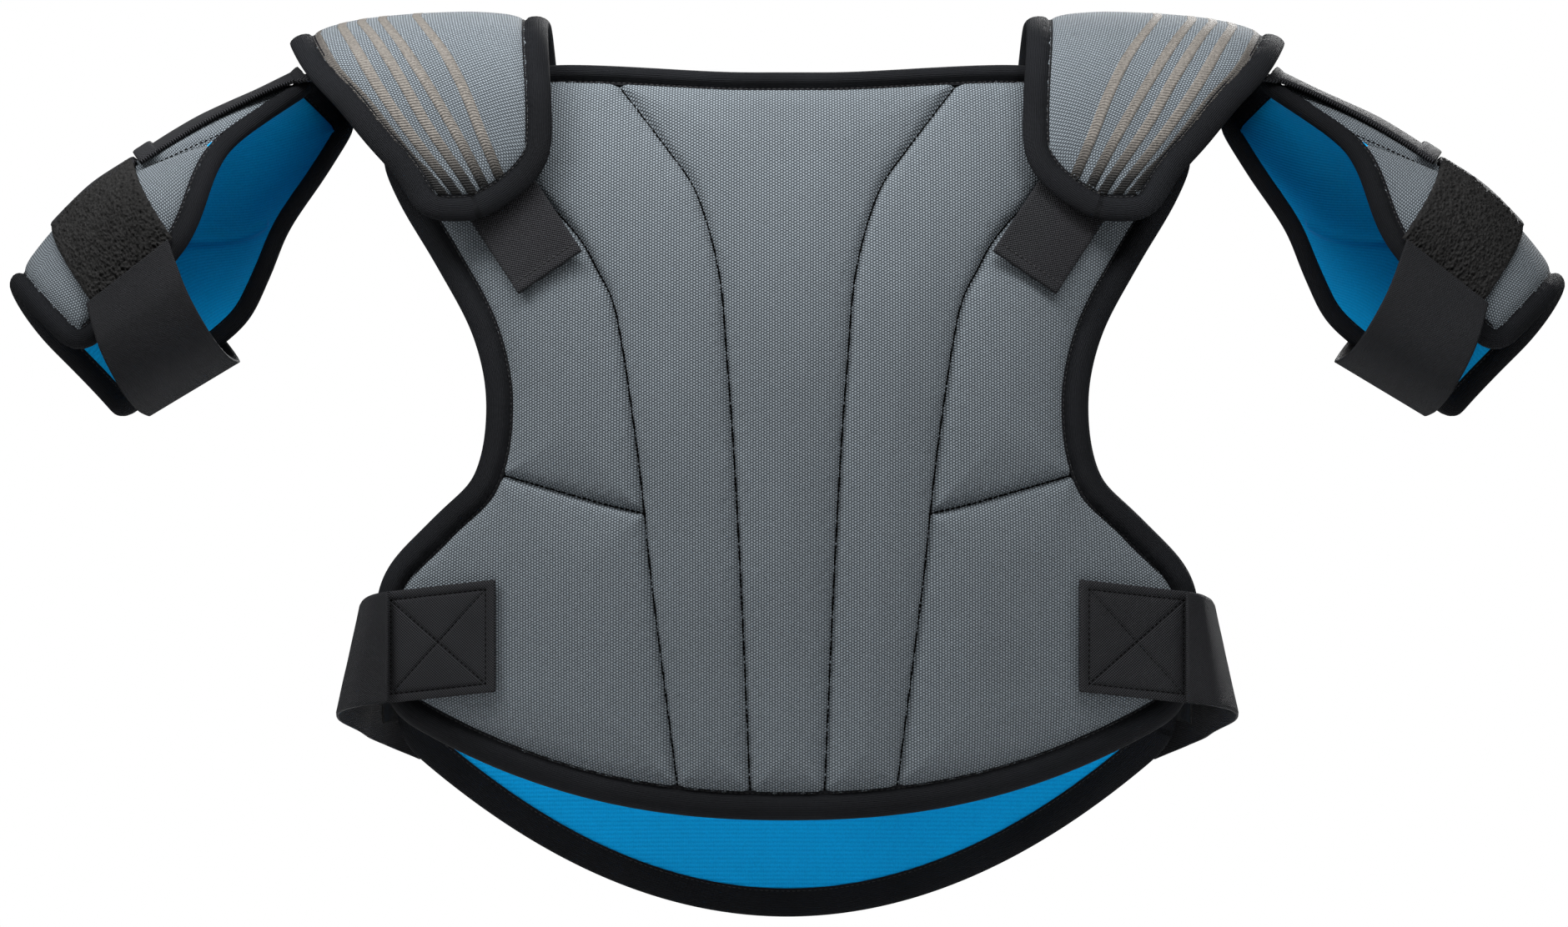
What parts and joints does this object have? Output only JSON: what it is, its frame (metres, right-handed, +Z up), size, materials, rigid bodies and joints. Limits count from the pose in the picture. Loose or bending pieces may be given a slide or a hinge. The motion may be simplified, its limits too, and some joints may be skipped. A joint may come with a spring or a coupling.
{
  "type": "hockey shoulder pads",
  "caption": "Upper-body hockey padding: quilted back panel, longer chest panel, shoulder caps over padded yokes, open arm pads, elastic waist and arm straps.",
  "frame": {"origin": "On the wearer's shoulder line, midway between the back and chest panels and between the two shoulders, where the yokes rest.", "axes": "+Z up, +Y the way the wearer faces, +X the wearer's right; the back panel faces -Y."},
  "size_m": [0.7568, 0.1994, 0.4479],
  "materials": {
    "mesh_fabric": "woven polyester mesh, matt grey",
    "liner_fabric": "ribbed knit liner, bright blue",
    "binding": "smooth folded knit tape, charcoal",
    "webbing": "woven webbing, black",
    "elastic": "ribbed woven elastic, black",
    "loop": "brushed loop pile, black",
    "foam": "closed-cell foam, off-white",
    "plastic": "moulded sheet, dark grey"
  },
  "bodies": {
    "back_panel": {"back_cover": "mesh_fabric", "back_liner": "liner_fabric", "back_binding": "binding", "yoke_left": "binding", "yoke_right": "binding", "back_foam_centre": "foam", "back_foam_inner_left": "foam", "back_foam_inner_right": "foam", "back_foam_upper_left": "foam", "back_foam_upper_right": "foam", "back_foam_lower_left": "foam", "back_foam_lower_right": "foam", "cap_strap_left": "webbing", "cap_strap_right": "webbing", "strap_patch_left": "webbing", "strap_patch_right": "webbing"},
    "front_panel": {"front_cover": "mesh_fabric", "front_liner": "liner_fabric", "front_binding": "binding", "front_foam_sternum": "foam", "front_foam_chest_left": "foam", "front_foam_chest_right": "foam", "front_foam_rib_left": "foam", "front_foam_rib_right": "foam", "side_loop_tab_left": "loop", "side_loop_tab_right": "loop"},
    "cap_left": {"cap_cover_left": "mesh_fabric", "cap_plate_left": "plastic", "cap_foam_left": "foam", "cap_liner_left": "liner_fabric", "cap_binding_left": "binding"},
    "arm_left": {"arm_cover_left": "mesh_fabric", "arm_foam_left": "foam", "arm_liner_left": "liner_fabric", "arm_binding_left": "binding", "hanger_strap_left": "webbing", "hanger_tab_left": "webbing", "arm_band_left": "webbing", "loop_patch_left": "loop"},
    "arm_elastic_left": {"arm_strap_left": "elastic"},
    "waist_elastic_left": {"waist_strap_left": "elastic"},
    "cap_right": {"cap_cover_right": "mesh_fabric", "cap_plate_right": "plastic", "cap_foam_right": "foam", "cap_liner_right": "liner_fabric", "cap_binding_right": "binding"},
    "arm_right": {"arm_cover_right": "mesh_fabric", "arm_foam_right": "foam", "arm_liner_right": "liner_fabric", "arm_binding_right": "binding", "hanger_strap_right": "webbing", "hanger_tab_right": "webbing", "arm_band_right": "webbing", "loop_patch_right": "loop"},
    "arm_elastic_right": {"arm_strap_right": "elastic"},
    "waist_elastic_right": {"waist_strap_right": "elastic"}
  },
  "joints": [
    {"name": "front_panel_swing", "type": "hinge", "parent": "back_panel", "child": "front_panel", "pos_m": [0, 0.069, -0.063], "axis": [1, 0, 0], "range_deg": [0, 35]},
    {"name": "cap_left_lift", "type": "hinge", "parent": "back_panel", "child": "cap_left", "pos_m": [-0.123, 0, 0.022], "axis": [0, 1, 0], "range_deg": [0, 45]},
    {"name": "arm_left_swing", "type": "hinge", "parent": "cap_left", "child": "arm_left", "pos_m": [-0.23, 0, -0.003], "axis": [0, 1, 0], "range_deg": [-25, 12]},
    {"name": "arm_elastic_left_open", "type": "hinge", "parent": "arm_left", "child": "arm_elastic_left", "pos_m": [-0.30354, 0.056, -0.11599], "axis": [-0.7071, 0, -0.7071], "range_deg": [-60, 0]},
    {"name": "waist_elastic_left_open", "type": "hinge", "parent": "back_panel", "child": "waist_elastic_left", "pos_m": [-0.193, -0.068, -0.29], "axis": [0, 0, 1], "range_deg": [0, 75]},
    {"name": "cap_right_lift", "type": "hinge", "parent": "back_panel", "child": "cap_right", "pos_m": [0.123, 0, 0.022], "axis": [0, -1, 0], "range_deg": [0, 45]},
    {"name": "arm_right_swing", "type": "hinge", "parent": "cap_right", "child": "arm_right", "pos_m": [0.23, 0, -0.003], "axis": [0, -1, 0], "range_deg": [-25, 12]},
    {"name": "arm_elastic_right_open", "type": "hinge", "parent": "arm_right", "child": "arm_elastic_right", "pos_m": [0.30354, 0.056, -0.11599], "axis": [0.7071, 0, -0.7071], "range_deg": [0, 60]},
    {"name": "waist_elastic_right_open", "type": "hinge", "parent": "back_panel", "child": "waist_elastic_right", "pos_m": [0.193, -0.068, -0.29], "axis": [0, 0, -1], "range_deg": [0, 75]}
  ]
}
